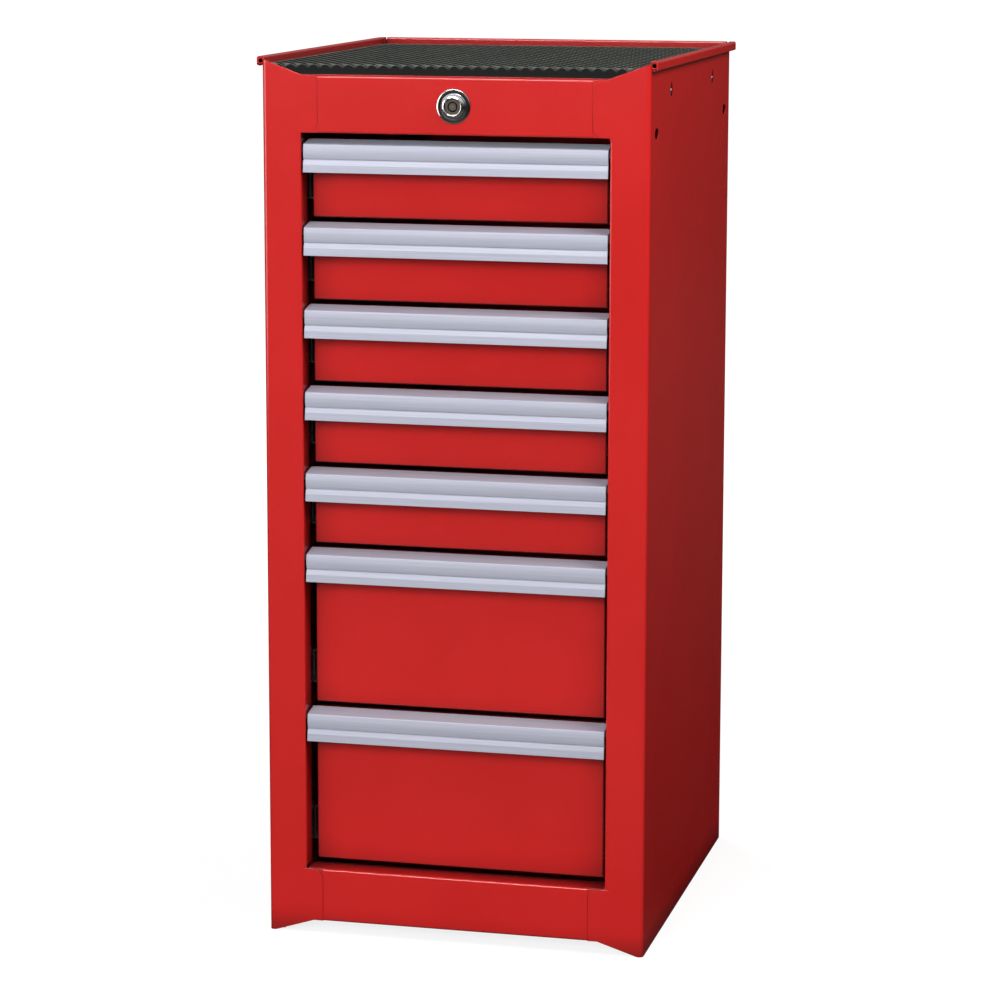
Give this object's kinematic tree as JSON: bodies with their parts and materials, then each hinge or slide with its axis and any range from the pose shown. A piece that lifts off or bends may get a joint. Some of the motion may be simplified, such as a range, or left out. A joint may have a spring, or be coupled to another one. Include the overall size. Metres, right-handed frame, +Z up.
{
  "type": "tool chest side cabinet",
  "caption": "Tall narrow steel tool cabinet with a column of drawers on ball slides, full width pulls, a keyed lock and a matted top tray; bolts to the side of a tool chest.",
  "frame": {"origin": "on the floor, under the middle of the cabinet's own footprint", "axes": "+Z up, -Y out of the drawer fronts, +X to the right seen from the front"},
  "size_m": [0.413, 0.47, 0.915],
  "materials": {
    "red_paint": "gloss red powder coat",
    "pull_aluminium": "satin anodised extrusion",
    "zinc_plate": "bright zinc plate",
    "chrome_plate": "polished chrome plate",
    "mat_rubber": "moulded black rubber with a studded top"
  },
  "bodies": {
    "cabinet": {"left_side_panel": "red_paint", "right_side_panel": "red_paint", "back_panel": "red_paint", "top_panel": "red_paint", "bottom_panel": "red_paint", "header_rail": "red_paint", "base_rail": "red_paint", "front_uprights": "red_paint", "rear_uprights": "red_paint", "top_mat": "mat_rubber", "hanging_screws": "chrome_plate", "lock_housing": "chrome_plate", "lock_nut": "chrome_plate", "lock_rod_bracket": "zinc_plate", "lock_bar_rivets": "zinc_plate", "drawer_1_outer_slides": "zinc_plate", "drawer_2_outer_slides": "zinc_plate", "drawer_3_outer_slides": "zinc_plate", "drawer_4_outer_slides": "zinc_plate", "drawer_5_outer_slides": "zinc_plate", "drawer_6_outer_slides": "zinc_plate", "drawer_7_outer_slides": "zinc_plate"},
    "drawer_1": {"drawer_1_tray": "red_paint", "drawer_1_front": "red_paint", "drawer_1_pull": "pull_aluminium", "drawer_1_inner_slides": "zinc_plate"},
    "ball_cages_1": {"drawer_1_ball_cages": "zinc_plate"},
    "drawer_2": {"drawer_2_tray": "red_paint", "drawer_2_front": "red_paint", "drawer_2_pull": "pull_aluminium", "drawer_2_inner_slides": "zinc_plate"},
    "ball_cages_2": {"drawer_2_ball_cages": "zinc_plate"},
    "drawer_3": {"drawer_3_tray": "red_paint", "drawer_3_front": "red_paint", "drawer_3_pull": "pull_aluminium", "drawer_3_inner_slides": "zinc_plate"},
    "ball_cages_3": {"drawer_3_ball_cages": "zinc_plate"},
    "drawer_4": {"drawer_4_tray": "red_paint", "drawer_4_front": "red_paint", "drawer_4_pull": "pull_aluminium", "drawer_4_inner_slides": "zinc_plate"},
    "ball_cages_4": {"drawer_4_ball_cages": "zinc_plate"},
    "drawer_5": {"drawer_5_tray": "red_paint", "drawer_5_front": "red_paint", "drawer_5_pull": "pull_aluminium", "drawer_5_inner_slides": "zinc_plate"},
    "ball_cages_5": {"drawer_5_ball_cages": "zinc_plate"},
    "drawer_6": {"drawer_6_tray": "red_paint", "drawer_6_front": "red_paint", "drawer_6_pull": "pull_aluminium", "drawer_6_inner_slides": "zinc_plate"},
    "ball_cages_6": {"drawer_6_ball_cages": "zinc_plate"},
    "drawer_7": {"drawer_7_tray": "red_paint", "drawer_7_front": "red_paint", "drawer_7_pull": "pull_aluminium", "drawer_7_inner_slides": "zinc_plate"},
    "ball_cages_7": {"drawer_7_ball_cages": "zinc_plate"},
    "lock_cylinder": {"lock_plug": "chrome_plate", "lock_rod": "zinc_plate"},
    "lock_bar_slide": {"lock_bar": "zinc_plate"}
  },
  "joints": [
    {"name": "drawer_1_slide", "type": "slide", "parent": "cabinet", "child": "drawer_1", "axis": [0, -1, 0], "range_m": [0, 0.3]},
    {"name": "ball_cages_1_slide", "type": "slide", "parent": "cabinet", "child": "ball_cages_1", "axis": [0, -1, 0], "range_m": [0, 0.15]},
    {"name": "drawer_2_slide", "type": "slide", "parent": "cabinet", "child": "drawer_2", "axis": [0, -1, 0], "range_m": [0, 0.3]},
    {"name": "ball_cages_2_slide", "type": "slide", "parent": "cabinet", "child": "ball_cages_2", "axis": [0, -1, 0], "range_m": [0, 0.15]},
    {"name": "drawer_3_slide", "type": "slide", "parent": "cabinet", "child": "drawer_3", "axis": [0, -1, 0], "range_m": [0, 0.3]},
    {"name": "ball_cages_3_slide", "type": "slide", "parent": "cabinet", "child": "ball_cages_3", "axis": [0, -1, 0], "range_m": [0, 0.15]},
    {"name": "drawer_4_slide", "type": "slide", "parent": "cabinet", "child": "drawer_4", "axis": [0, -1, 0], "range_m": [0, 0.3]},
    {"name": "ball_cages_4_slide", "type": "slide", "parent": "cabinet", "child": "ball_cages_4", "axis": [0, -1, 0], "range_m": [0, 0.15]},
    {"name": "drawer_5_slide", "type": "slide", "parent": "cabinet", "child": "drawer_5", "axis": [0, -1, 0], "range_m": [0, 0.3]},
    {"name": "ball_cages_5_slide", "type": "slide", "parent": "cabinet", "child": "ball_cages_5", "axis": [0, -1, 0], "range_m": [0, 0.15]},
    {"name": "drawer_6_slide", "type": "slide", "parent": "cabinet", "child": "drawer_6", "axis": [0, -1, 0], "range_m": [0, 0.3]},
    {"name": "ball_cages_6_slide", "type": "slide", "parent": "cabinet", "child": "ball_cages_6", "axis": [0, -1, 0], "range_m": [0, 0.15]},
    {"name": "drawer_7_slide", "type": "slide", "parent": "cabinet", "child": "drawer_7", "axis": [0, -1, 0], "range_m": [0, 0.3]},
    {"name": "ball_cages_7_slide", "type": "slide", "parent": "cabinet", "child": "ball_cages_7", "axis": [0, -1, 0], "range_m": [0, 0.15]},
    {"name": "key_turn", "type": "hinge", "parent": "cabinet", "child": "lock_cylinder", "pos_m": [0, 0, 0.86775], "axis": [0, 1, 0], "range_deg": [0, 90]},
    {"name": "lock_bar_lift", "type": "slide", "parent": "cabinet", "child": "lock_bar_slide", "axis": [0, 0, 1], "range_m": [0, 0.01131]}
  ],
  "couplings": [
    {"joint": "ball_cages_1_slide", "follows": "drawer_1_slide", "ratio": 0.5},
    {"joint": "ball_cages_2_slide", "follows": "drawer_2_slide", "ratio": 0.5},
    {"joint": "ball_cages_3_slide", "follows": "drawer_3_slide", "ratio": 0.5},
    {"joint": "ball_cages_4_slide", "follows": "drawer_4_slide", "ratio": 0.5},
    {"joint": "ball_cages_5_slide", "follows": "drawer_5_slide", "ratio": 0.5},
    {"joint": "ball_cages_6_slide", "follows": "drawer_6_slide", "ratio": 0.5},
    {"joint": "ball_cages_7_slide", "follows": "drawer_7_slide", "ratio": 0.5},
    {"joint": "key_turn", "follows": "lock_bar_lift", "rad_per_m": 138.84}
  ]
}
